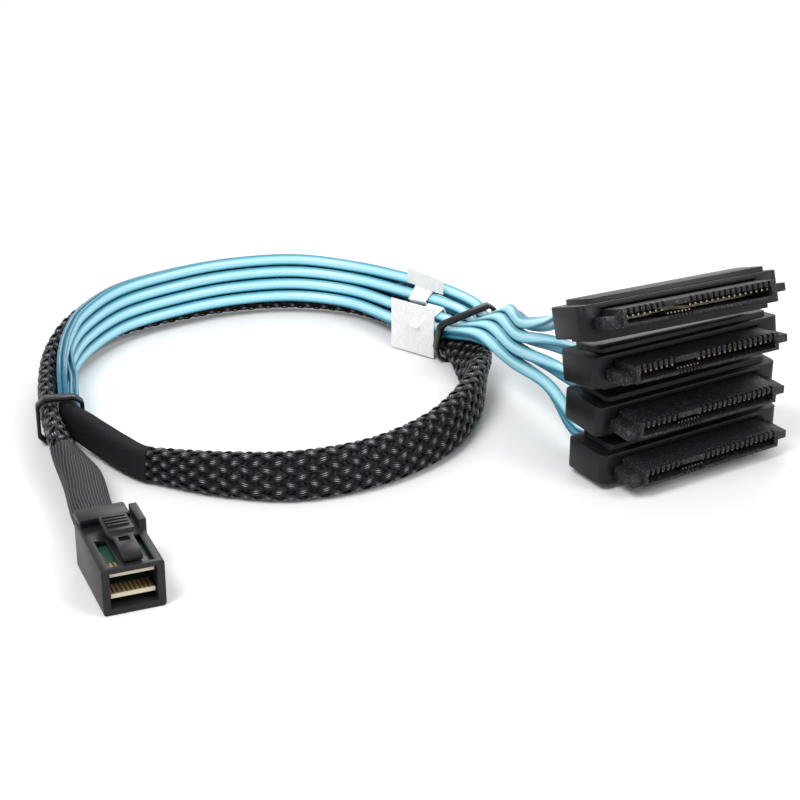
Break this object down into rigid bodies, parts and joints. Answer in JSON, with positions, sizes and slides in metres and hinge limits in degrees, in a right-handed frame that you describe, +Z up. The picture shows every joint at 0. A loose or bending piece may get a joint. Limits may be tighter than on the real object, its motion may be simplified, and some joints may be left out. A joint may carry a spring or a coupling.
{
  "type": "mini sas breakout cable",
  "caption": "Breakout cable with a latched host plug, a coiled flat braided trunk bound by ties, and flat ribbon leads that fan out to a stack of drive connectors.",
  "frame": {"origin": "bottom centre of the box around the host plug and the four drive connectors", "axes": "+X from the host plug towards the drive connectors, +Y away from the connectors' open fronts, +Z up from the surface the cable lies on"},
  "size_m": [0.1572, 0.1501, 0.0416],
  "materials": {
    "charcoal_plastic": "fine grain",
    "black_plastic": "fine grain, slight sheen",
    "spring_metal": "satin",
    "circuit_board": "solder mask, copper pads at the front edge",
    "cloth_tape": "woven cloth tape",
    "braid": "open braid of glossy strands",
    "tie_strap": "smooth, shiny",
    "label_paper": "matt",
    "ribbon_jacket": "semi-gloss",
    "contact_metal": "plated"
  },
  "bodies": {
    "cable": {"plug_shell": "charcoal_plastic", "plug_cover": "black_plastic", "paddle_card_upper": "circuit_board", "paddle_card_lower": "circuit_board", "card_spacer": "black_plastic", "strain_relief": "black_plastic", "cloth_tape_plug_end": "cloth_tape", "braided_sleeve": "braid", "cloth_tape_breakout_end": "cloth_tape", "tie_left": "tie_strap", "tie_right": "tie_strap", "label_2": "label_paper", "label_3": "label_paper", "ribbon_1a": "ribbon_jacket", "ribbon_1b": "ribbon_jacket", "ribbon_2a": "ribbon_jacket", "ribbon_2b": "ribbon_jacket", "ribbon_3a": "ribbon_jacket", "ribbon_3b": "ribbon_jacket", "ribbon_4a": "ribbon_jacket", "ribbon_4b": "ribbon_jacket", "drive_housing_1": "black_plastic", "drive_housing_2": "black_plastic", "drive_housing_3": "black_plastic", "drive_housing_4": "black_plastic", "drive_receptacle_1": "charcoal_plastic", "drive_receptacle_2": "charcoal_plastic", "drive_receptacle_3": "charcoal_plastic", "drive_receptacle_4": "charcoal_plastic", "contact_board_1": "contact_metal", "contact_board_2": "contact_metal", "contact_board_3": "contact_metal", "contact_board_4": "contact_metal"},
    "latch": {"latch_lever": "black_plastic", "latch_spring": "spring_metal"}
  },
  "joints": [
    {"name": "latch_press", "type": "hinge", "parent": "cable", "child": "latch", "pos_m": [-0.05697, -0.03711, 0.0097], "axis": [-0.9252, -0.3795, 0], "range_deg": [0, 3], "stiffness_Nm_per_rad": 0.3}
  ]
}
